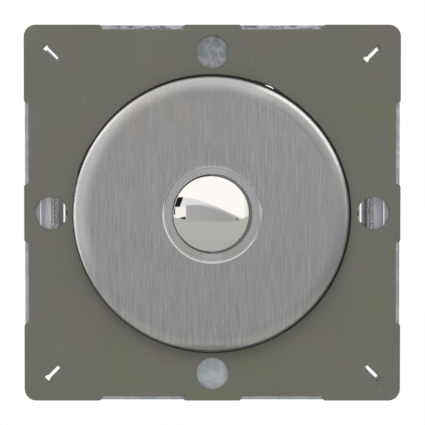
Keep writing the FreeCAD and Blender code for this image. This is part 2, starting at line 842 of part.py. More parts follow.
def housing_screw(index):
    """Long screw from the cover through the housing into the carrier."""
    x, y = screw_places()[index]
    seat = cover_back + housing_screw_head_height
    head = cylinder(housing_screw_head_radius, cover_back, seat, x, y)
    shank = cylinder(housing_screw_radius, seat - joint_overlap, housing_screw_bite, x, y)
    half = driver_slot_width / 2
    reach = housing_screw_head_radius
    grooves = [
        block((x - reach, x + reach), (y - half, y + half), (cover_back, cover_back + driver_slot_depth)),
        block((x - half, x + half), (y - reach, y + reach), (cover_back, cover_back + driver_slot_depth)),
    ]
    return fused([head, shank]).cut(grooves)


def claw_screw():
    """Countersunk screw that turns in the frame and draws the claw nut forward."""
    front = frame_thickness - running_clearance
    shank = cylinder(claw_screw_radius, claw_screw_back, front, claw_screw_offset)
    cone_foot = V(claw_screw_offset, 0, front - claw_sink_depth)
    cone = Part.makeCone(claw_screw_radius, claw_head_radius, claw_sink_depth, cone_foot)
    half = driver_slot_width / 2
    groove = block(
        (claw_screw_offset - claw_head_radius, claw_screw_offset + claw_head_radius),
        (-half, half),
        (front - claw_groove_depth, front),
    )
    return fused([shank, cone]).cut(groove)


def claw_nut():
    """Block threaded on the claw screw, with a trunnion at each end that carries the claw."""
    half_x = claw_nut_width / 2
    half_y = claw_nut_height / 2
    low = -claw_nut_depth - claw_nut_thickness / 2
    high = low + claw_nut_thickness
    body = block((claw_screw_offset - half_x, claw_screw_offset + half_x), (-half_y, half_y), (low, high))
    length = claw_nut_height + 2 * trunnion_length
    pin_end = V(claw_screw_offset, -length / 2, -claw_nut_depth)
    pin = Part.makeCylinder(trunnion_radius, length, pin_end, V(0, 1, 0))
    bore = cylinder(claw_screw_radius + running_clearance, low, high, claw_screw_offset)
    return fused([body, pin]).cut(bore)


def claw():
    """Bent steel claw: forked arms on the nut's trunnions, a web beside the screw and teeth at the front."""
    front = -claw_front_depth
    arm_in = claw_nut_height / 2 + claw_arm_gap
    arm_out = arm_in + claw_arm
    web_outer = claw_web_inner + claw_sheet
    eye = trunnion_radius + claw_eye_wall
    z_range = (-claw_nut_depth - eye, -claw_nut_depth + eye)
    web = block((claw_web_inner, web_outer), (-arm_out, arm_out), (-claw_nut_depth - eye, front))
    solids = [web]
    for side in (1, -1):
        y_low = min(side * arm_in, side * arm_out)
        arm = block((claw_screw_offset, web_outer), (y_low, y_low + claw_arm), z_range)
        boss = Part.makeCylinder(eye, claw_arm, V(claw_screw_offset, y_low, -claw_nut_depth), V(0, 1, 0))
        solids += [arm, boss]
    lip_end = web_outer + claw_lip_reach
    lip = block((claw_web_inner, lip_end), (-arm_out, arm_out), (front - claw_lip_thickness, front))
    pitch = 2 * arm_out / claw_tooth_count
    teeth = [claw_tooth(lip_end, -arm_out + index * pitch, pitch, front) for index in range(claw_tooth_count)]
    bore_end = V(claw_screw_offset, -arm_out, -claw_nut_depth)
    bore = Part.makeCylinder(trunnion_radius + running_clearance, 2 * arm_out, bore_end, V(0, 1, 0))
    body = fused(solids + [lip] + teeth).cut(bore)
    bends = [e for e in body.Edges if is_claw_bend(e, arm_out, web_outer)]
    return body.makeFillet(claw_bend_round, bends)


def is_claw_bend(edge, arm_out, web_outer):
    """True for the outside of the bends between the claw's web and its arms and lip."""
    box = edge.BoundBox
    along_arm = box.XLength < 1e-6 and box.YLength < 1e-6 and abs(box.XMin - web_outer) < 1e-6
    along_lip = box.XLength < 1e-6 and box.ZLength < 1e-6 and abs(box.ZMin + claw_front_depth) < 1e-6
    at_arm = along_arm and abs(abs(box.YMin) - arm_out) < 1e-6 and box.ZMax < -claw_nut_depth + claw_bend_round * 4
    return at_arm or (along_lip and abs(box.XMin - claw_web_inner) < 1e-6)


def claw_tooth(base, y_low, pitch, front):
    """Pointed tooth on the edge of the claw's front lip."""
    inside = base - claw_lip_reach / 2
    points = [
        V(inside, y_low, front),
        V(base, y_low, front),
        V(base + claw_tooth_reach, y_low + pitch / 2, front),
        V(base, y_low + pitch, front),
        V(inside, y_low + pitch, front),
    ]
    face = Part.Face(Part.makePolygon(points + points[:1]))
    return face.extrude(V(0, 0, -claw_lip_thickness))


def main():
    """Write every piece."""
    os.makedirs("parts", exist_ok=True)
    save("front_plate", front_plate())
    save("mounting_frame", mounting_frame())
    save("earth_spring", earth_spring())
    save("earth_rivet", earth_rivet())
    save("fascia_disc", fascia_disc())
    save("fascia_carrier", fascia_carrier())
    save("button_bezel", button_bezel())
    save("bezel_nut", bezel_nut())
    save("push_button", push_button())
    save("plunger", plunger())
    save("return_spring", return_spring())
    save("contact_spring", contact_spring())
    save("contact_bridge", contact_bridge())
    for name, side in (("top", 1), ("bottom", -1)):
        save("bridge_tip_" + name, bridge_tip(side))
        save("fixed_tip_" + name, fixed_tip(side))
        save("fixed_contact_" + name, fixed_contact(side))
        save("cage_clamp_" + name, cage_clamp(side))
        save("terminal_screw_" + name, terminal_screw(side))
    save("switch_housing", switch_housing())
    save("housing_cover", housing_cover())
    for index in range(len(screw_places())):
        save("housing_screw_" + str(index + 1), housing_screw(index))
    for piece, make in (("claw", claw), ("claw_nut", claw_nut), ("claw_screw", claw_screw)):
        right = make()
        save(piece + "_right", right)
        save(piece + "_left", mirrored_x(right))


main()
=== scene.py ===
"""Looks of the flush pushbutton light switch: finishes, studio and the pieces that need finer meshes.

Metres, in the part's own frame: +Z up, face towards -Y, wall plane y = 0, button axis on x = z = 0.
Profiles are written in millimetres as (radius or x, height in front of the wall) and scaled by MM.
"""

import json
import math

import bmesh
import bpy
from mathutils import Matrix, Vector


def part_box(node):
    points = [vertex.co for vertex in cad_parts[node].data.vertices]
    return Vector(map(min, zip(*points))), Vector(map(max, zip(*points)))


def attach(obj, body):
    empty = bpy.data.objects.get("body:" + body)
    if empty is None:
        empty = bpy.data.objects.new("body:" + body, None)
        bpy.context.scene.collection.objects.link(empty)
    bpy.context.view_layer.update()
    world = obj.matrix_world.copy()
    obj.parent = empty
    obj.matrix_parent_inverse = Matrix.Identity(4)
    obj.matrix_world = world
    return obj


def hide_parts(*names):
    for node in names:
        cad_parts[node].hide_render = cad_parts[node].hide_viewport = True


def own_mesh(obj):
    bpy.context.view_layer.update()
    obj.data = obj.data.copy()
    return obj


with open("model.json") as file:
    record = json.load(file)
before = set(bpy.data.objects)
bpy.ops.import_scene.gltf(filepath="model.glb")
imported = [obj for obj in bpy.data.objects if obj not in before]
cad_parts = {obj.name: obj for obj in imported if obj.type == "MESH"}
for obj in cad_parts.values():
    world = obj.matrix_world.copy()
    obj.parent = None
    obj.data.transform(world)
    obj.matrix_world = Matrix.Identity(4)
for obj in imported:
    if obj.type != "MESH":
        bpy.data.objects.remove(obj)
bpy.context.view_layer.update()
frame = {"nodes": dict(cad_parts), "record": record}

MM = 0.001
X, Y, Z = 0, 1, 2

# The photograph's view
VIEW_DISTANCE = 0.50
VIEW_ELEVATION = math.radians(2.5)
TOWARDS_CAMERA = (0.0, -math.cos(VIEW_ELEVATION), math.sin(VIEW_ELEVATION))
PHOTO_WIDTH_PX = 425
PLATE_WIDTH_PX = 376.4
PLATE_CENTRE_PX = (212.3, 213.2)
SENSOR_MM = 36.0
CLIP_START = 0.01

# Fineness of the meshes
ARC_STEPS, DISC_ARC_STEPS = 8, 20
CIRCLE_STEPS, OPENING_STEPS = 96, 360
RING_SEGMENTS, FINE_SEGMENTS = 192, 256
DOME_STEPS = 40
BEVEL_STEPS = 3
SHARP_ANGLE = math.radians(35)
ON_AXIS = 1e-6

# Plate, in millimetres like all sizes of the switch
PLATE_CORNER, PLATE_EDGE_ROUND = 2.2, 0.12
PLATE_OPENING, OPENING_PLACE = 25.9, (-0.09, -0.12)
ACCESS_RADIUS, ACCESS_OFFSET = 3.0, 30.0
NOTCH_START, NOTCH_LENGTH, NOTCH_DEPTH = 5.4, 15.2, 0.85
NOTCH_MOUTH, NOTCH_FLOOR = 0.5, 0.25

# Bites in the plate's opening: middle and half width in degrees, depth
LIGHT_BITE, EARTH_BITE = (65.5, 7.0, 0.3), (157.0, 8.0, 0.22)

# Corner slots: direction of each slot's middle and of its head in degrees, shift aside
SLOT_LENGTH, SLOT_WIDTH, SLOT_DISTANCE = 3.75, 0.84, 29.7 * math.sqrt(2)
HEAD_LENGTH, HEAD_WIDTH = 0.5, 1.08
SLOT_DIRECTIONS = [(45, 225, 0.0), (135, 135, 0.2), (225, 225, 0.05), (315, 315, -0.05)]

# Dark sheet of painted shade in the gap round the disc
GAP_SHADE_RADIUS, GAP_SHADE_BITE_RADIUS, GAP_SHADE_INSIDE = 26.3, 25.72, 24.7
GAP_SHADE_BACK, GAP_SHADE_FRONT, GAP_SHADE_EDGE_ROUND = 0.8, 0.97, 0.01

# Disc; within the border round the recess it stays centred on the button
SHEET = 0.8
SLOPE_WIDTH, SLOPE_ANGLE, SLOPE_ROUND = 2.1, math.radians(9), 14.5
SKIRT_ROUND, SKIRT_EDGE_ROUND = 0.8, 0.1
RECESS_RADIUS, RECESS_DEPTH, RECESS_SLOPE = 8.86, 0.4, 0.26
RECESS_LIP_ROUND, RECESS_ROUND, RECESS_BORDER = 0.28, 0.08, 1.0
DISC_PLACE = (-0.21, -0.16)

# Ring
RING_RADIUS, RING_SINK, RING_ROUND = 8.83, 0.14, 0.04
BARREL_RADIUS, BARREL_GAP, BARREL_ROUND = 8.3, 0.2, 0.15
BORE_RADIUS, BORE_STEP_RADIUS, BORE_STEP_DEPTH = 7.45, 7.05, 0.45

# Cap
CAP_RADIUS, CAP_EDGE_ROUND = 7.0, 0.2
CAP_SHIFT = (-0.2, 0.0)
DOME_RISE, DOME_SHARE = 1.9, 0.98
CAVITY_SINK = 0.48

# Mirroring on the cap's own disc: u to the right, w up, both 1 at its edge
CAP_SPHERE = (CAP_RADIUS**2 + DOME_RISE**2) / (2 * DOME_RISE)
CAP_SCALE = CAP_SPHERE / CAP_RADIUS
CAP_SCALE_ACROSS = 0.985 * CAP_SCALE
CAP_LIFT = math.sqrt(1 - (CAP_RADIUS / CAP_SPHERE) ** 2) * math.sin(VIEW_ELEVATION)

# What the cap mirrors: edges as polynomials, lowest term first, and the limits of gaps and marks
BAND_EDGE = (0.2512, -0.4012, -0.1257, 0.0945)
CARD_EDGE = (0.200, -0.2308, -0.2963)
TABLE_EDGE = (-0.204, -0.0317, 0.0315, 0.0571, 0.1178)
EDGE_SOFTNESS, BOX_SOFTNESS = 0.010, 0.008
GAP_LEVELS, GAP_LEFT = (26, 24, 28), -1.1
UPPER_GAP, UPPER_GAP_RIGHT = (0.186, 0.45), (-0.893, 0.35)
LOWER_GAP, LOWER_GAP_RIGHT = (-0.02, 0.21), -0.948
MARK, MARK_LEFT, MARK_RIGHT = (-0.180, -0.085), 0.65, (0.53, -1.5)
WEDGE_TIP, WEDGE_END, WEDGE_HEIGHT, WEDGE_SLOPE = -0.873, -0.672, -0.114, 0.225

# Lamp and floor, in metres and watts
PANEL_SIZE, PANEL_PLACE, PANEL_POWER = (0.5, 0.3), (-0.05, -0.35, 0.45), 1.2
FLOOR_RADIUS, FLOOR_PLACE = 0.13, (0, 0, -0.07)


def cad_width(node):
    """Extent of a CAD node from left to right, in millimetres."""
    low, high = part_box(node)
    return (high.x - low.x) / MM


def cad_front(node):
    """How far a CAD node reaches in front of the wall, in millimetres."""
    return -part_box(node)[0].y / MM


def cad_back(node):
    """Height of a CAD node's back above the wall, in millimetres."""
    return -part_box(node)[1].y / MM


def turned_to(angle, radius):
    """Point in the wall's plane at an angle in degrees and a distance from the axis."""
    return Matrix.Rotation(math.radians(angle), 2) @ Vector((radius, 0))


def rounded_path(corners, steps=ARC_STEPS):
    """Closed outline through corners (u, v, radius); each corner with a radius becomes an arc."""
    path = []
    for index, (u, v, radius) in enumerate(corners):
        here = Vector((u, v))
        if radius == 0:
            path.append(here)
            continue
        before = (Vector(corners[index - 1][:2]) - here).normalized()
        after = (Vector(corners[(index + 1) % len(corners)][:2]) - here).normalized()
        half = before.angle(after) / 2
        centre = here + (before + after).normalized() * (radius / math.sin(half))
        start = here + before * (radius / math.tan(half)) - centre
        end = here + after * (radius / math.tan(half)) - centre
        sweep = start.angle_signed(end)
        for step in range(steps + 1):
            turn = Matrix.Rotation(-sweep * step / steps, 2)
            path.append(centre + turn @ start)
    return path


def circle_path(radius, centre=(0.0, 0.0)):
    """Points round a circle."""
    angles = [2 * math.pi * index / CIRCLE_STEPS for index in range(CIRCLE_STEPS)]
    return [Vector((centre[0] + radius * math.cos(a), centre[1] + radius * math.sin(a))) for a in angles]


def slot_path(centre_angle, head_angle, aside):
    """Points round a square-ended slot with a wider head at one end."""
    end, shoulder = SLOT_LENGTH / 2, SLOT_LENGTH / 2 - HEAD_LENGTH
    side, head = SLOT_WIDTH / 2, HEAD_WIDTH / 2
    points = [(-end, -side), (shoulder, -side), (shoulder, -head), (end, -head)]
    points += [(end, head), (shoulder, head), (shoulder, side), (-end, side)]
    turn = Matrix.Rotation(math.radians(head_angle), 2)
    centre = Matrix.Rotation(math.radians(centre_angle), 2) @ Vector((SLOT_DISTANCE, aside))
    return [turn @ Vector(p) + centre for p in points]


def quarters(path):
    """An outline and its three copies turned by quarter turns."""
    return [[Matrix.Rotation(k * math.pi / 2, 2) @ p for p in path] for k in range(4)]


def new_object(name, data):
    """Object of a mesh, curve, camera or lamp, linked to the scene."""
    piece = bpy.data.objects.new(name, data)
    bpy.context.scene.collection.objects.link(piece)
    return piece


def smooth(piece):
    """Smooth shading with sharp edges above an angle and flat faces kept flat."""
    mesh = piece.data
    mesh.polygons.foreach_set("use_smooth", [True] * len(mesh.polygons))
    mesh.set_sharp_from_angle(angle=SHARP_ANGLE)
    weighted = piece.modifiers.new("even_normals", "WEIGHTED_NORMAL")
    weighted.keep_sharp = True
    weighted.weight = 100
    return piece


def lathe(name, profile, segments=FINE_SEGMENTS, centre=(0.0, 0.0)):
    """Body of revolution about the button's axis from a closed profile of (radius, height) points."""
    mesh_data = bmesh.new()
    rings = []
    for radius, height in profile:
        if radius < ON_AXIS:
            rings.append([mesh_data.verts.new((centre[0] * MM, -height * MM, centre[1] * MM))])
            continue
        ring = []
        for index in range(segments):
            angle = 2 * math.pi * index / segments
            x = centre[0] + radius * math.cos(angle)
            z = centre[1] + radius * math.sin(angle)
            ring.append(mesh_data.verts.new((x * MM, -height * MM, z * MM)))
        rings.append(ring)
    for ring_a, ring_b in zip(rings, rings[1:] + rings[:1]):
        if len(ring_a) == 1 and len(ring_b) == 1:
            continue
        for index in range(segments):
            following = (index + 1) % segments
            loop = [ring_a[index % len(ring_a)], ring_a[following % len(ring_a)]]
            loop += [ring_b[following % len(ring_b)], ring_b[index % len(ring_b)]]
            mesh_data.faces.new(list(dict.fromkeys(loop)))
    bmesh.ops.recalc_face_normals(mesh_data, faces=mesh_data.faces)
    mesh = bpy.data.meshes.new(name)
    mesh_data.to_mesh(mesh)
    mesh_data.free()
    return smooth(new_object(name, mesh))


def sheet(name, outlines, back, front, edge_round):
    """Flat sheet with holes: outlines in the plane of the wall, heights above it, rounded edges."""
    curve = bpy.data.curves.new(name, "CURVE")
    curve.dimensions = "2D"
    curve.fill_mode = "BOTH"
    curve.extrude = ((front - back) / 2 - edge_round) * MM
    curve.bevel_depth = edge_round * MM
    curve.bevel_resolution = BEVEL_STEPS
    curve.offset = -edge_round * MM
    for outline in outlines:
        spline = curve.splines.new("POLY")
        spline.points.add(len(outline) - 1)
        for point, (x, y) in zip(spline.points, outline):
            point.co = (x * MM, y * MM, 0, 1)
        spline.use_cyclic_u = True
    holder = new_object(name + "_curve", curve)
    bpy.context.view_layer.update()
    evaluated = holder.evaluated_get(bpy.context.evaluated_depsgraph_get())
    mesh = bpy.data.meshes.new_from_object(evaluated)
    bpy.data.objects.remove(holder)
    upright = Matrix.Rotation(math.pi / 2, 4, "X")
    mesh.transform(Matrix.Translation((0, -(back + front) / 2 * MM, 0)) @ upright)
    mesh.name = name
    return smooth(new_object(name, mesh))


def shift(piece, place, low, high):
    """Moves a piece's vertices that lie between two distances from the button's axis."""
    for vertex in piece.data.vertices:
        if low * MM < math.hypot(vertex.co.x, vertex.co.z) < high * MM:
            vertex.co.x += place[0] * MM
            vertex.co.z += place[1] * MM


class Nodes:
    """Short way to write a node tree."""

    def __init__(self, tree):
        self.tree = tree
        tree.nodes.clear()

    def add(self, kind, inputs=None, **settings):
        """New node with its settings and its inputs, each a value or another node's output."""
        node = self.tree.nodes.new(kind)
        for key, value in settings.items():
            setattr(node, key, value)
        for key, value in (inputs or {}).items():
            self.join(node.inputs[key], value)
        return node

    def join(self, socket, value):
        """Sets a socket to a value or links an output to it."""
        if isinstance(value, bpy.types.NodeSocket):
            self.tree.links.new(value, socket)
        elif isinstance(value, bpy.types.Node):
            self.tree.links.new(value.outputs[0], socket)
        else:
            socket.default_value = value

    def math(self, operation, a, b=0.0, c=0.0):
        """Output of a math node."""
        return self.add("ShaderNodeMath", {0: a, 1: b, 2: c}, operation=operation).outputs[0]

    def times(self, a, b):
        """Product of two values, also the overlap of two masks."""
        return self.math("MULTIPLY", a, b)

    def length(self, a, b):
        """Length of the vector (a, b)."""
        return self.math("SQRT", self.math("MULTIPLY_ADD", a, a, self.times(b, b)))

    def poly(self, value, terms):
        """Polynomial of a value from its terms, lowest first."""
        total = terms[-1]
        for term in reversed(terms[:-1]):
            total = self.math("MULTIPLY_ADD", total, value, term)
        return total

    def vector(self, operation, a, b=(0.0, 0.0, 0.0)):
        """Node of a vector operation."""
        return self.add("ShaderNodeVectorMath", {0: a, 1: b}, operation=operation)

    def ramp(self, value, low, high, to_low=0.0, to_high=1.0, smooth_steps=True):
        """Value that goes from to_low to to_high as its input goes from low to high."""
        kind = "SMOOTHSTEP" if smooth_steps else "LINEAR"
        inputs = {"Value": value, "From Min": low, "From Max": high, "To Min": to_low, "To Max": to_high}
        return self.add("ShaderNodeMapRange", inputs, interpolation_type=kind).outputs[0]

    def band(self, value, rise_start, rise_end, fall_start, fall_end):
        """Mask that rises between the first two limits and falls between the last two."""
        return self.times(self.ramp(value, rise_start, rise_end), self.ramp(value, fall_end, fall_start))

    def mix(self, factor, a, b):
        """Colour between two colours."""
        node = self.add("ShaderNodeMix", data_type="RGBA")
        self.join(node.inputs[0], factor)
        self.join(node.inputs[6], a)
        self.join(node.inputs[7], b)
        return node.outputs[2]

    def noise(self, vector, scale, detail=2.0, roughness=0.5):
        """Value of a noise texture."""
        inputs = {"Vector": vector, "Scale": scale, "Detail": detail, "Roughness": roughness}
        return self.add("ShaderNodeTexNoise", inputs).outputs[0]

    def along(self, *axes):
        """Object coordinates along the given axes, in millimetres."""
        here = self.add("ShaderNodeTexCoord").outputs["Object"]
        split = self.add("ShaderNodeSeparateXYZ", {0: here})
        return [self.math("DIVIDE", split.outputs[axis], MM) for axis in axes]

    def radius(self):
        """Distance from the button's axis in millimetres."""
        return self.length(*self.along(X, Z))

    def place(self, scale=(1.0, 1.0, 1.0), rotation=(0.0, 0.0, 0.0)):
        """Object coordinates, turned and stretched."""
        here = self.add("ShaderNodeTexCoord").outputs["Object"]
        inputs = {"Vector": here, "Rotation": rotation, "Scale": scale}
        return self.add("ShaderNodeMapping", inputs).outputs[0]

    def bump(self, shader, height, strength, distance):
        """Fine relief on a shader."""
        relief = self.add("ShaderNodeBump", {"Height": height, "Strength": strength, "Distance": distance})
        self.join(shader.inputs["Normal"], relief)


def grey(value, warm=0.0):
    """Colour from one sRGB level between 0 and 255, a little warmer or cooler."""
    return srgb(value + warm, value, value - warm)


def srgb(red, green, blue):
    """Linear colour from sRGB levels between 0 and 255."""
    levels = []
    for level in (red, green, blue):
        share = max(level, 0) / 255
        levels.append(share / 12.92 if share <= 0.04045 else ((share + 0.055) / 1.055) ** 2.4)
    return (*levels, 1.0)


def principled(name):
    """New material with a Principled shader, and the helper that builds its nodes."""
    material = bpy.data.materials.new(name)
    material.use_nodes = True
    nodes = Nodes(material.node_tree)
    shader = nodes.add("ShaderNodeBsdfPrincipled")
    output = nodes.add("ShaderNodeOutputMaterial")
    nodes.join(output.inputs["Surface"], shader)
    return material, nodes, shader


def taupe_paint():
    """Satin taupe paint with faint mottling, dust specks and hairline scratches."""
    material, nodes, shader = principled("taupe_paint")
    here = nodes.place()
    cloud = nodes.noise(here, 60, 3)
    drift = nodes.noise(here, 75, 4, 0.6)
    grain = nodes.noise(here, 2600)
    specks = nodes.add("ShaderNodeTexVoronoi", {"Vector": here, "Scale": 190}).outputs["Distance"]
    base = nodes.mix(nodes.ramp(cloud, 0.35, 0.65), srgb(101, 101, 92), srgb(105, 105, 97))
    base = nodes.mix(nodes.ramp(drift, 0.52, 0.68, 0.0, 0.55), base, srgb(107, 99, 93))
    base = nodes.mix(nodes.ramp(drift, 0.48, 0.34, 0.0, 0.55), base, srgb(102, 104, 86))
    base = nodes.mix(nodes.ramp(grain, 0.3, 0.7, 0.0, 0.25), base, srgb(92, 92, 84))
    base = nodes.mix(hairlines(nodes, 35, 0.35), base, srgb(134, 134, 126))
    base = nodes.mix(nodes.ramp(specks, 0.018, 0.03, 0.5, 0.0), base, srgb(165, 165, 158))
    nodes.join(shader.inputs["Base Color"], base)
    nodes.join(shader.inputs["Roughness"], nodes.ramp(cloud, 0.3, 0.7, 0.46, 0.56))
    shader.inputs["Specular IOR Level"].default_value = 0.3
    nodes.bump(shader, grain, 0.12, 0.00002)
    return material


def hairlines(nodes, angle, strength):
    """Mask of sparse, thin scratches that run near one direction, in degrees."""
    here = nodes.place((40, 1, 2.2), (0, math.radians(angle), 0))
    lines = nodes.add("ShaderNodeTexVoronoi", {"Vector": here, "Scale": 60}, feature="DISTANCE_TO_EDGE")
    thin = nodes.ramp(lines.outputs["Distance"], 0.0, 0.02, 1.0, 0.0)
    where = nodes.noise(nodes.place(), 90, 1)
    return nodes.times(thin, nodes.ramp(where, 0.58, 0.66, 0.0, strength))


def zinc():
    """Blue-white zinc plating: pale crystalline mottling, faint stains and rubbed scratches."""
    material, nodes, shader = principled("zinc_plate")
    here = nodes.place()
    patches = nodes.noise(here, 420, 5, 0.62)
    stains = nodes.noise(here, 170, 3)
    rubbed = nodes.noise(nodes.place((1, 1, 4.5), (0, 0.5, 0)), 900, 3)
    base = nodes.mix(nodes.ramp(patches, 0.38, 0.62), srgb(196, 203, 209), srgb(222, 227, 230))
    base = nodes.mix(nodes.ramp(stains, 0.56, 0.70, 0.0, 0.5), base, srgb(176, 172, 186))
    base = nodes.mix(nodes.ramp(rubbed, 0.60, 0.68, 0.0, 0.35), base, srgb(238, 240, 240))
    x, z = nodes.along(X, Z)

    # Darker mottling round the top hole, dark stains along the top edge
    from_hole = nodes.length(x, nodes.math("SUBTRACT", z, ACCESS_OFFSET))
    mottle = nodes.noise(here, 750, 5, 0.7)
    blotches = nodes.mix(nodes.ramp(mottle, 0.42, 0.58), srgb(152, 160, 165), srgb(190, 188, 194))
    base = nodes.mix(nodes.ramp(from_hole, 6.0, 3.2), base, blotches)
    worn = nodes.noise(nodes.place((0.35, 1, 1)), 1300, 4, 0.7)
    top_edge = nodes.times(nodes.ramp(z, 33.6, 34.0), nodes.ramp(worn, 0.50, 0.56))
    base = nodes.mix(nodes.times(top_edge, 0.8), base, srgb(118, 126, 142))

    # Stamped outer edge of the side slots, with a thin painted highlight along it
    out = nodes.math("ABSOLUTE", x)
    beside = nodes.ramp(nodes.math("ABSOLUTE", z), 4.5, 3.0)
    stamped = nodes.times(nodes.ramp(out, 32.0, 32.1), beside)
    base = nodes.mix(nodes.times(stamped, 0.7), base, srgb(182, 181, 194))
    # Painted highlight: a thin white, non-metallic line along the slots' outer edge
    bright = nodes.times(nodes.band(out, 31.76, 31.80, 32.04, 32.08), beside)
    nodes.join(shader.inputs["Base Color"], nodes.mix(bright, base, srgb(252, 255, 255)))
    nodes.join(shader.inputs["Metallic"], nodes.ramp(bright, 0.0, 1.0, 0.85, 0.0))
    nodes.join(shader.inputs["Roughness"], nodes.ramp(patches, 0.3, 0.7, 0.30, 0.42))
    nodes.bump(shader, patches, 0.2, 0.00004)
    return material


def claw_steel():
    """Zinc-plated claw: a rough sheared band over the bend and a smooth bluish lip outside it, with painted
    shade in the crease and inside the bend and a painted highlight on the left claw's lip.
    """
    material, nodes, shader = principled("claw_steel")
    x, depth = nodes.along(X, Y)
    out = nodes.math("ABSOLUTE", x)
    grit = nodes.noise(nodes.place((1, 1, 0.7)), 3600, 4, 0.75)

    # Smooth lip with fine level lines, and a painted highlight on the left claw's lip
    lines = nodes.noise(nodes.place((1, 1, 0.05)), 2200)
    lip = nodes.mix(nodes.ramp(lines, 0.35, 0.65), srgb(214, 217, 230), srgb(244, 246, 252))
    lip = nodes.mix(nodes.ramp(out, 31.35, 31.45), lip, srgb(216, 213, 221))
    lip = nodes.mix(nodes.band(x, -31.3, -30.5, -30.0, -29.0), lip, grey(255))

    # Sheared band with a ragged dark line of painted shade in its crease, and painted shade on its outer
    # side where the bend turns away
    ragged = nodes.math("MULTIPLY_ADD", grit, 0.5, nodes.math("SUBTRACT", out, 0.25))
    sheared = nodes.mix(nodes.ramp(grit, 0.42, 0.58), srgb(165, 166, 164), srgb(255, 255, 252))
    crease_shade = nodes.band(ragged, 29.45, 29.55, 29.70, 29.80)
    sheared = nodes.mix(nodes.times(crease_shade, 0.6), sheared, grey(112))
    sheared = nodes.mix(nodes.ramp(ragged, 29.95, 30.1, 0.0, 0.8), sheared, srgb(122, 128, 132))
    base = nodes.mix(nodes.ramp(out, 30.1, 30.3), sheared, lip)
    # Painted shadow in the gap inside the bend
    past_bend = nodes.math("SUBTRACT", out, nodes.ramp(x, -1.0, 1.0, 28.72, 28.98))
    base = nodes.mix(nodes.ramp(past_bend, 0.03, -0.03), base, grey(76))

    # Plain plating behind the frame
    behind = nodes.math("MAXIMUM", nodes.ramp(depth, 4.5, 6.0), nodes.ramp(out, 31.95, 32.0))
    patches = nodes.noise(nodes.place(), 420, 5, 0.62)
    plated = nodes.mix(nodes.ramp(patches, 0.38, 0.62), srgb(166, 173, 180), srgb(202, 208, 212))
    nodes.join(shader.inputs["Base Color"], nodes.mix(behind, base, plated))
    shiny = nodes.math("MAXIMUM", nodes.ramp(out, 30.1, 30.3, 0.0, 0.8), nodes.times(behind, 0.85))
    nodes.join(shader.inputs["Metallic"], shiny)
    nodes.join(shader.inputs["Roughness"], nodes.ramp(grit, 0.3, 0.7, 0.34, 0.5))
    nodes.bump(shader, nodes.times(grit, nodes.ramp(out, 30.0, 30.2, 1.0, 0.05)), 0.5, 0.00006)
    return material


def brushed_steel():
    """Stainless steel brushed straight up and down, in fine streaks of many lengths, with painted highlights
    and shade on the shoulder and the recess lip.
    """
    material, nodes, shader = principled("brushed_steel")
    fine = nodes.noise(nodes.place((6400, 260, 240)), 1, 2, 0.6)
    medium = nodes.noise(nodes.place((3800, 200, 130)), 1, 2, 0.6)
    broad = nodes.noise(nodes.place((1100, 100, 60)), 1)
    tint = nodes.noise(nodes.place((700, 60, 30)), 1)
    streaks = nodes.math("MULTIPLY_ADD", medium, 0.40, nodes.times(fine, 0.55))
    streaks = nodes.math("MULTIPLY_ADD", broad, 0.05, streaks)
    base = nodes.mix(nodes.ramp(streaks, 0.34, 0.66), srgb(193, 193, 194), grey(229))
    base = nodes.mix(nodes.ramp(tint, 0.40, 0.70, 0.0, 0.4), base, srgb(214, 208, 210))
    base = disc_tones(nodes, base, tint)
    z = nodes.along(Z)[0]
    # Recess lip, paler and smoother on the lower half: a painted highlight along the bottom of the lip
    lip = nodes.times(nodes.ramp(nodes.radius(), 9.22, 9.15), nodes.ramp(z, 3.5, 0.5))
    nodes.join(shader.inputs["Base Color"], nodes.mix(lip, base, grey(250)))
    shader.inputs["Metallic"].default_value = 1.0
    rough = nodes.ramp(streaks, 0.35, 0.65, 0.30, 0.24)
    nodes.join(shader.inputs["Roughness"], nodes.times(rough, nodes.ramp(lip, 0.0, 1.0, 1.0, 0.3)))
    shader.inputs["Anisotropic"].default_value = 0.95
    nodes.join(shader.inputs["Tangent"], nodes.add("ShaderNodeCombineXYZ", {0: 1.0, 1: 0.0, 2: 0.0}))
    nodes.bump(shader, streaks, 0.35, 0.00002)
    return material


def disc_tones(nodes, base, tint):
    """Tones by place on the disc: a warm patch above, painted highlights on the left shoulder and the upper
    right edge, and painted shade on the right shoulder, the top and bottom edges and the upper right
    shoulder.
    """
    x, z = nodes.along(X, Z)
    reach = nodes.radius()
    warm = nodes.times(nodes.ramp(z, 7, 19), nodes.ramp(x, 11, -5))
    warm = nodes.times(warm, nodes.ramp(tint, 0.38, 0.62, 0.15, 1.0))
    base = nodes.mix(nodes.times(warm, 0.6), base, srgb(212, 204, 196))
    shoulder = nodes.ramp(reach, 22.3, 24.5)
    # Painted highlight on the left shoulder
    left = nodes.times(nodes.times(shoulder, nodes.ramp(x, -12, -23)), nodes.ramp(z, -14, -4))
    base = nodes.mix(left, base, grey(255))
    # Painted shade on the right shoulder
    right = nodes.times(nodes.times(shoulder, nodes.ramp(x, 14, 23)), nodes.ramp(z, 16, 6))
    base = nodes.mix(right, base, grey(193))
    # Painted shade along the top edge
    top = nodes.times(nodes.ramp(z, 20.5, 24.0), nodes.ramp(x, 12, 6))
    base = nodes.mix(top, base, grey(196))
    # Painted shade along the bottom edge
    base = nodes.mix(nodes.ramp(z, -23.9, -25.1), base, grey(175))
    # Upper right: painted shade on the inner shoulder and a painted highlight at the outer edge
    corner = nodes.times(nodes.ramp(x, 6, 13), nodes.ramp(z, 5, 12))
    inner = nodes.times(corner, nodes.band(reach, 22.4, 23.0, 24.3, 24.7))
    base = nodes.mix(inner, base, grey(186))
    outer = nodes.times(corner, nodes.ramp(reach, 24.4, 24.9))
    return nodes.mix(outer, base, grey(250))


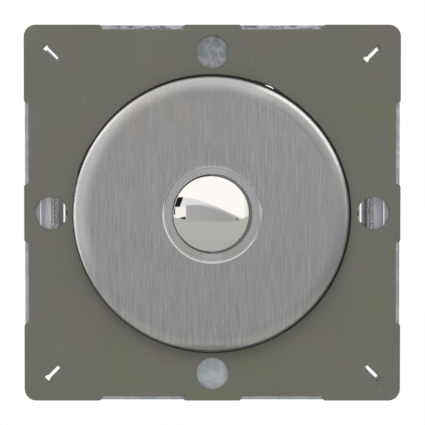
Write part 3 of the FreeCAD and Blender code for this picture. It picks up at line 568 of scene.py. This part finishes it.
def chrome():
    """Polished chrome with barely visible handling marks."""
    material, nodes, shader = principled("polished_chrome")
    haze = nodes.noise(nodes.place(), 700, 3)
    nodes.join(shader.inputs["Base Color"], nodes.mix(haze, srgb(252, 251, 249), srgb(255, 253, 251)))
    shader.inputs["Metallic"].default_value = 1.0
    nodes.join(shader.inputs["Roughness"], nodes.ramp(haze, 0.3, 0.7, 0.03, 0.06))
    return material


def ring_chrome():
    """Chrome of the ring with painted highlights at the top and bottom, painted shade beside them and
    towards the bore, and a dull grey bore that paints the shade in the gap.
    """
    material, nodes, shader = principled("ring_chrome")
    x, z = nodes.along(X, Z)
    around = nodes.times(nodes.math("ARCTAN2", nodes.math("ABSOLUTE", x), z), 180 / math.pi)
    reach = nodes.radius()
    # Painted highlights at the top and bottom and painted shade beside them
    base = nodes.mix(nodes.ramp(around, 14, 24), grey(255), srgb(247, 246, 246))
    base = nodes.mix(nodes.ramp(around, 132, 136), base, srgb(240, 239, 233))
    base = nodes.mix(nodes.ramp(around, 166, 169), base, srgb(252, 253, 255))
    # A narrow darker band on the ring
    narrow_darker_band = nodes.band(reach, 8.36, 8.42, 8.50, 8.58)
    base = nodes.mix(nodes.times(narrow_darker_band, 0.5), base, grey(222))
    # Painted shade towards the bore
    base = nodes.mix(nodes.ramp(reach, 7.80, 7.60, 0.0, 0.5), base, grey(228))
    # Dull grey bore: painted shade in the gap round the cap
    base = nodes.mix(nodes.ramp(reach, 7.43, 7.40), base, grey(150))
    nodes.join(shader.inputs["Base Color"], base)
    shader.inputs["Metallic"].default_value = 1.0
    nodes.join(shader.inputs["Roughness"], nodes.ramp(reach, 7.43, 7.40, 0.05, 0.45))
    return material


def metal(name, dark, light, roughness, scale=900):
    """Plain metal whose colour and gloss vary with a fine cloud."""
    material, nodes, shader = principled(name)
    cloud = nodes.noise(nodes.place(), scale, 4, 0.6)
    nodes.join(shader.inputs["Base Color"], nodes.mix(nodes.ramp(cloud, 0.35, 0.65), dark, light))
    shader.inputs["Metallic"].default_value = 1.0
    nodes.join(shader.inputs["Roughness"], nodes.ramp(cloud, 0.3, 0.7, roughness, roughness + 0.15))
    nodes.bump(shader, cloud, 0.15, 0.00003)
    return material


def moulding(name, colour, lighter):
    """Moulded thermoset with a fine matt grain."""
    material, nodes, shader = principled(name)
    here = nodes.place()
    grain = nodes.noise(here, 1800, 3, 0.6)
    cloud = nodes.noise(here, 90)
    base = nodes.mix(nodes.ramp(cloud, 0.3, 0.7, 0.0, 0.6), colour, lighter)
    base = nodes.mix(nodes.ramp(grain, 0.55, 0.75, 0.0, 0.3), base, lighter)
    nodes.join(shader.inputs["Base Color"], base)
    nodes.join(shader.inputs["Roughness"], nodes.ramp(grain, 0.3, 0.7, 0.5, 0.65))
    nodes.bump(shader, grain, 0.2, 0.00004)
    return material


MATERIALS = {
    "taupe_paint": taupe_paint(),
    "zinc_steel": zinc(),
    "claw_steel": claw_steel(),
    "brushed_steel": brushed_steel(),
    "polished_chrome": chrome(),
    "ring_chrome": ring_chrome(),
    "bronze_strip": metal("bronze_strip", srgb(105, 62, 28), srgb(214, 172, 118), 0.25, 1500),
    "contact_copper": metal("contact_copper", srgb(176, 104, 70), srgb(214, 140, 100), 0.28),
    "contact_silver": metal("contact_silver", srgb(200, 198, 190), srgb(232, 230, 224), 0.25),
    "bright_steel": metal("bright_steel", srgb(160, 164, 168), srgb(214, 217, 220), 0.26),
    "spring_steel": metal("spring_steel", srgb(150, 150, 152), srgb(190, 190, 192), 0.22),
    "light_moulding": moulding("light_moulding", srgb(196, 195, 188), srgb(208, 207, 201)),
    "dark_moulding": moulding("dark_moulding", srgb(52, 53, 56), srgb(66, 67, 70)),
}


def dress(piece, name):
    """Sets a piece's only material."""
    piece.data.materials.clear()
    piece.data.materials.append(MATERIALS[name])


def finish_nodes():
    """Gives every CAD node the material of its slot."""
    slots = {row["node"]: row["material_slot"] for row in frame["record"]["subparts"]}
    for name, node in frame["nodes"].items():
        dress(node, "claw_steel" if name in ("claw_left", "claw_right") else slots[name])


def stand_for(piece, body, slot, *nodes):
    """Lets a finished piece ride on a body in place of CAD nodes."""
    dress(piece, slot)
    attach(piece, body)
    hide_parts(*nodes)


def plate_outline():
    """Outer edge of the plate with two notches in each side."""
    edge = cad_width("front_plate") / 2
    floor = edge - NOTCH_DEPTH
    end = NOTCH_START + NOTCH_LENGTH
    side = [(-edge, -edge, PLATE_CORNER)]
    for first, last in ((-end, -NOTCH_START), (NOTCH_START, end)):
        side += [(first, -edge, NOTCH_MOUTH), (first, -floor, NOTCH_FLOOR)]
        side += [(last, -floor, NOTCH_FLOOR), (last, -edge, NOTCH_MOUTH)]
    corners = []
    for c, s in ((1, 0), (0, 1), (-1, 0), (0, -1)):
        corners += [(c * x - s * y, s * x + c * y, r) for x, y, r in side]
    return rounded_path(corners)


def opening_path():
    """Edge of the plate's opening with shallow bites over the light gap and the earth strip."""
    path = []
    for step in range(OPENING_STEPS):
        angle = 360 * step / OPENING_STEPS
        radius = PLATE_OPENING
        for middle, half_width, depth in (LIGHT_BITE, EARTH_BITE):
            radius += depth * math.sqrt(max(0.0, 1 - abs(angle - middle) / half_width))
        path.append(turned_to(angle, radius) + Vector(OPENING_PLACE))
    return path


def build_plate():
    """Painted front plate."""
    outlines = [plate_outline(), opening_path()]
    outlines += quarters(circle_path(ACCESS_RADIUS, (ACCESS_OFFSET, 0)))
    outlines += [slot_path(*directions) for directions in SLOT_DIRECTIONS]
    back, front = cad_back("front_plate"), cad_front("front_plate")
    plate = sheet("painted_plate", outlines, back, front, PLATE_EDGE_ROUND)
    stand_for(plate, "root", "taupe_paint", "front_plate")


def build_gap_shade_sheet():
    """Dark sheet of painted shade at the bottom of the gap round the disc."""
    outer = []
    for step in range(OPENING_STEPS):
        angle = 360 * step / OPENING_STEPS
        beside = abs(angle - LIGHT_BITE[0]) > LIGHT_BITE[1]
        outer.append(turned_to(angle, GAP_SHADE_RADIUS if beside else GAP_SHADE_BITE_RADIUS))
    shade_sheet = sheet("painted_gap_shade", [outer, circle_path(GAP_SHADE_INSIDE)], GAP_SHADE_BACK, GAP_SHADE_FRONT, GAP_SHADE_EDGE_ROUND)
    # The dark moulding colour paints the shade in the gap.
    dress(shade_sheet, "dark_moulding")
    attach(shade_sheet, "root")


def build_disc():
    """Pressed fascia disc."""
    radius = cad_width("fascia_disc") / 2
    front = cad_front("fascia_disc")
    back = cad_back("fascia_disc")
    floor = front - RECESS_DEPTH
    hole = BARREL_RADIUS + BARREL_GAP
    under = RECESS_RADIUS + RECESS_SLOPE / 2
    shoulder = front - SLOPE_WIDTH * math.tan(SLOPE_ANGLE)
    corners = [
        (radius, back, SKIRT_EDGE_ROUND),
        (radius, shoulder, SKIRT_ROUND),
        (radius - SLOPE_WIDTH, front, SLOPE_ROUND),
        (RECESS_RADIUS + RECESS_SLOPE, front, RECESS_LIP_ROUND),
        (RECESS_RADIUS, floor, RECESS_ROUND),
        (hole, floor, 0),
        (hole, floor - SHEET, 0),
        (under, floor - SHEET, RECESS_ROUND),
        (under + RECESS_SLOPE, front - SHEET, RECESS_ROUND),
        (radius - SLOPE_WIDTH, front - SHEET, SLOPE_ROUND / 2),
        (radius - SHEET, shoulder - SHEET, SKIRT_ROUND / 2),
        (radius - SHEET, back, SKIRT_EDGE_ROUND),
    ]
    disc = lathe("steel_fascia", rounded_path(corners, DISC_ARC_STEPS))
    shift(disc, DISC_PLACE, RECESS_RADIUS + RECESS_BORDER, math.inf)
    stand_for(disc, "root", "brushed_steel", "fascia_disc")


def build_bezel():
    """Polished ring round the button."""
    front = cad_front("fascia_disc") - RING_SINK
    back = cad_back("button_bezel")
    floor = cad_front("fascia_disc") - RECESS_DEPTH
    corners = [
        (BORE_STEP_RADIUS, back, 0),
        (BARREL_RADIUS, back, BARREL_ROUND),
        (BARREL_RADIUS, floor, 0),
        (RING_RADIUS, floor, 0),
        (RING_RADIUS, front, RING_ROUND),
        (BORE_RADIUS, front, 2 * RING_ROUND),
        (BORE_RADIUS, front - BORE_STEP_DEPTH, RING_ROUND),
        (BORE_STEP_RADIUS, front - BORE_STEP_DEPTH, RING_ROUND),
    ]
    bezel = lathe("polished_bezel", rounded_path(corners), RING_SEGMENTS)
    shift(bezel, CAP_SHIFT, 0, BORE_STEP_RADIUS + RING_ROUND)
    stand_for(bezel, "root", "ring_chrome", "button_bezel")


def build_button():
    """Domed cap."""
    radius = cad_width("push_button") / 2
    apex = cad_front("push_button")
    back = cad_back("push_button")
    sphere = (radius**2 + DOME_RISE**2) / (2 * DOME_RISE)
    edge_angle = math.asin(radius / sphere)
    inner = radius - SHEET
    cavity = apex - DOME_RISE - CAVITY_SINK
    profile = []
    for step in range(DOME_STEPS):
        angle = edge_angle * DOME_SHARE * step / (DOME_STEPS - 1)
        profile.append((sphere * math.sin(angle), apex - sphere * (1 - math.cos(angle))))
    edge = rounded_path([(*profile[-1], 0), (radius, apex - DOME_RISE, CAP_EDGE_ROUND), (radius, back, 0)])
    profile += [tuple(p) for p in edge[1:]]
    profile += [(inner, back), (inner, cavity), (0, cavity)]
    cap = lathe("domed_cap", profile, centre=CAP_SHIFT)
    stand_for(cap, "button", "polished_chrome", "push_button")


def build_return_spring():
    """Return spring, on its own copy of the CAD spring's mesh, riding on the root body."""
    spring = new_object("coiled_return_spring", frame["nodes"]["return_spring"].data.copy())
    stand_for(spring, "root", "spring_steel", "return_spring")
    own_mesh(spring)


def add_camera():
    """Camera where the photograph was taken from."""
    data = bpy.data.cameras.new("photo_camera")
    camera = new_object("photo_camera", data)
    px = cad_width("front_plate") * MM / PLATE_WIDTH_PX
    middle = PHOTO_WIDTH_PX / 2
    face = cad_front("front_plate") * MM
    target = Vector(((middle - PLATE_CENTRE_PX[0]) * px, -face, (PLATE_CENTRE_PX[1] - middle) * px))
    towards = Vector(TOWARDS_CAMERA)
    camera.location = target + towards * VIEW_DISTANCE
    camera.rotation_euler = towards.to_track_quat("Z", "Y").to_euler()
    data.sensor_width = SENSOR_MM
    data.lens = SENSOR_MM * VIEW_DISTANCE / (PHOTO_WIDTH_PX * px)
    data.clip_start = CLIP_START
    bpy.context.scene.camera = camera


def build_world():
    """White surroundings; shiny surfaces see a studio with a white sky, a grey card and a table."""
    world = bpy.data.worlds.new("studio")
    bpy.context.scene.world = world
    world.use_nodes = True
    world.cycles.sampling_method = "NONE"
    nodes = Nodes(world.node_tree)
    direction = nodes.add("ShaderNodeTexCoord").outputs["Generated"]
    rays = nodes.add("ShaderNodeLightPath")
    mirrored = studio_pattern(nodes, direction)
    height = nodes.add("ShaderNodeSeparateXYZ", {0: direction}).outputs[Z]
    ambient = nodes.mix(nodes.ramp(height, -1.0, 1.0, smooth_steps=False), grey(225), grey(250))
    colour = nodes.mix(rays.outputs["Is Glossy Ray"], ambient, mirrored)
    seen = nodes.math("MAXIMUM", rays.outputs["Is Camera Ray"], rays.outputs["Is Transmission Ray"])
    colour = nodes.mix(seen, colour, grey(255))
    background = nodes.add("ShaderNodeBackground", {"Color": colour, "Strength": 1.0})
    output = nodes.add("ShaderNodeOutputWorld")
    nodes.join(output.inputs["Surface"], background)


def studio_pattern(nodes, direction):
    """Colour of the studio in a direction, laid out by where the cap mirrors it in the photograph's view."""
    up = (0.0, math.sin(VIEW_ELEVATION), math.cos(VIEW_ELEVATION))
    between = nodes.vector("ADD", direction, TOWARDS_CAMERA).outputs[0]
    half = nodes.vector("NORMALIZE", between).outputs[0]
    across = nodes.vector("DOT_PRODUCT", half, (1.0, 0.0, 0.0)).outputs["Value"]
    rise = nodes.vector("DOT_PRODUCT", half, up).outputs["Value"]
    u = nodes.times(across, CAP_SCALE_ACROSS)
    w = nodes.times(nodes.math("ADD", rise, CAP_LIFT), CAP_SCALE)
    reach = nodes.length(u, w)
    on_cap = add_table(nodes, u, w, add_gaps(nodes, u, w, studio_front(nodes, u, w)))
    return nodes.mix(nodes.ramp(reach, 0.99, 1.12), on_cap, studio_room(nodes, u, w, reach))


def studio_front(nodes, u, w):
    """White sky, the pale band under it and the grey card in front of the band."""
    over_band = nodes.math("SUBTRACT", w, nodes.poly(u, BAND_EDGE))
    over_card = nodes.math("SUBTRACT", w, nodes.poly(u, CARD_EDGE))
    band = nodes.mix(nodes.ramp(u, -0.74, 0.5), grey(222, -1), grey(232, 1))
    card = nodes.mix(nodes.ramp(u, -0.66, 0.5), grey(169, -1), grey(160, -1))
    softness = nodes.ramp(u, -0.5, -0.1, 0.010, 0.075)
    wall = nodes.mix(nodes.ramp(over_card, nodes.times(softness, -1.0), softness), card, band)
    side = nodes.mix(nodes.ramp(w, 0.16, 0.24), srgb(245, 243, 238), grey(226))
    wall = nodes.mix(nodes.ramp(u, -0.655, -0.668), wall, side)
    front = nodes.mix(nodes.ramp(over_band, -EDGE_SOFTNESS, EDGE_SOFTNESS), wall, srgb(254, 252, 249))
    return nodes.mix(nodes.ramp(u, 0.80, 0.98, 0.0, 0.5), front, grey(200))


def add_gaps(nodes, u, w, front):
    """Dark gaps at the left and a small grey mark at the right."""
    upper = box_mask(nodes, u, (GAP_LEFT, nodes.poly(w, UPPER_GAP_RIGHT)), w, UPPER_GAP)
    lower = box_mask(nodes, u, (GAP_LEFT, LOWER_GAP_RIGHT), w, LOWER_GAP)
    mark = box_mask(nodes, u, (MARK_LEFT, nodes.poly(w, MARK_RIGHT)), w, MARK)
    front = nodes.mix(upper, front, srgb(*GAP_LEVELS))
    front = nodes.mix(lower, front, srgb(*GAP_LEVELS))
    return nodes.mix(mark, front, grey(118))


def add_table(nodes, u, w, front):
    """Grey table below, and a dark wedge over its left end."""
    over_table = nodes.math("SUBTRACT", w, nodes.poly(u, TABLE_EDGE))
    table = nodes.mix(nodes.ramp(w, -1.0, -0.25), srgb(174, 173, 170), srgb(179, 178, 174))
    front = nodes.mix(nodes.ramp(over_table, -EDGE_SOFTNESS, EDGE_SOFTNESS), table, front)
    spread = nodes.math("MULTIPLY_ADD", u, WEDGE_SLOPE, -WEDGE_SLOPE * WEDGE_TIP)
    low = nodes.math("SUBTRACT", WEDGE_HEIGHT, spread)
    high = nodes.math("ADD", spread, WEDGE_HEIGHT)
    wedge = box_mask(nodes, u, (WEDGE_TIP, WEDGE_END), w, (low, high))
    return nodes.mix(wedge, front, srgb(*GAP_LEVELS))


def studio_room(nodes, u, w, reach):
    """Room beyond the cap's edge, which the disc's shoulder mirrors."""
    aside = nodes.math("DIVIDE", u, nodes.math("MAXIMUM", reach, 0.01))
    above = nodes.math("DIVIDE", w, nodes.math("MAXIMUM", reach, 0.01))
    room = nodes.mix(nodes.ramp(aside, -1.0, 1.0, smooth_steps=False), grey(250), grey(130))
    room = nodes.mix(nodes.ramp(above, 0.0, 1.0), room, grey(215))
    corner = nodes.times(nodes.math("ABSOLUTE", aside), above)
    room = nodes.mix(nodes.ramp(corner, 0.15, 0.45), room, grey(255))
    floor = nodes.mix(nodes.ramp(reach, 1.0, 1.3), grey(150), grey(105))
    return nodes.mix(nodes.ramp(above, -0.2, -0.75), room, floor)


def box_mask(nodes, u, across, w, upright):
    """Mask of the part of the cap's disc between two limits each way, with narrow soft edges."""
    mask = 1.0
    for value, (low, high) in ((u, across), (w, upright)):
        for inside in (nodes.math("SUBTRACT", value, low), nodes.math("SUBTRACT", high, value)):
            mask = nodes.times(mask, nodes.ramp(inside, -BOX_SOFTNESS, BOX_SOFTNESS))
    return mask


def add_lamps():
    """Soft panel over the camera, aimed at the switch and not mirrored by it."""
    data = bpy.data.lights.new("panel", "AREA")
    data.shape = "RECTANGLE"
    data.size, data.size_y = PANEL_SIZE
    data.energy = PANEL_POWER
    data.specular_factor = 0.0
    panel = new_object("panel", data)
    panel.location = PANEL_PLACE
    panel.rotation_euler = panel.location.to_track_quat("Z", "Y").to_euler()
    panel.visible_glossy = False


def add_floor():
    """Plain pale floor well below the switch and out of the photograph's frame."""
    mesh_data = bmesh.new()
    bmesh.ops.create_circle(mesh_data, cap_ends=True, segments=CIRCLE_STEPS, radius=FLOOR_RADIUS)
    mesh = bpy.data.meshes.new("floor")
    mesh_data.to_mesh(mesh)
    mesh_data.free()
    floor = new_object("floor", mesh)
    floor.location = FLOOR_PLACE
    floor.visible_glossy = False
    material, nodes, shader = principled("pale_floor")
    cloud = nodes.noise(nodes.place(), 40, 3)
    nodes.join(shader.inputs["Base Color"], nodes.mix(cloud, grey(236, 1), grey(244, 1)))
    shader.inputs["Roughness"].default_value = 0.8
    mesh.materials.append(material)


finish_nodes()
build_plate()
build_gap_shade_sheet()
build_disc()
build_bezel()
build_button()
build_return_spring()
add_camera()
build_world()
add_lamps()
add_floor()
bpy.context.scene.view_settings.view_transform = "Standard"
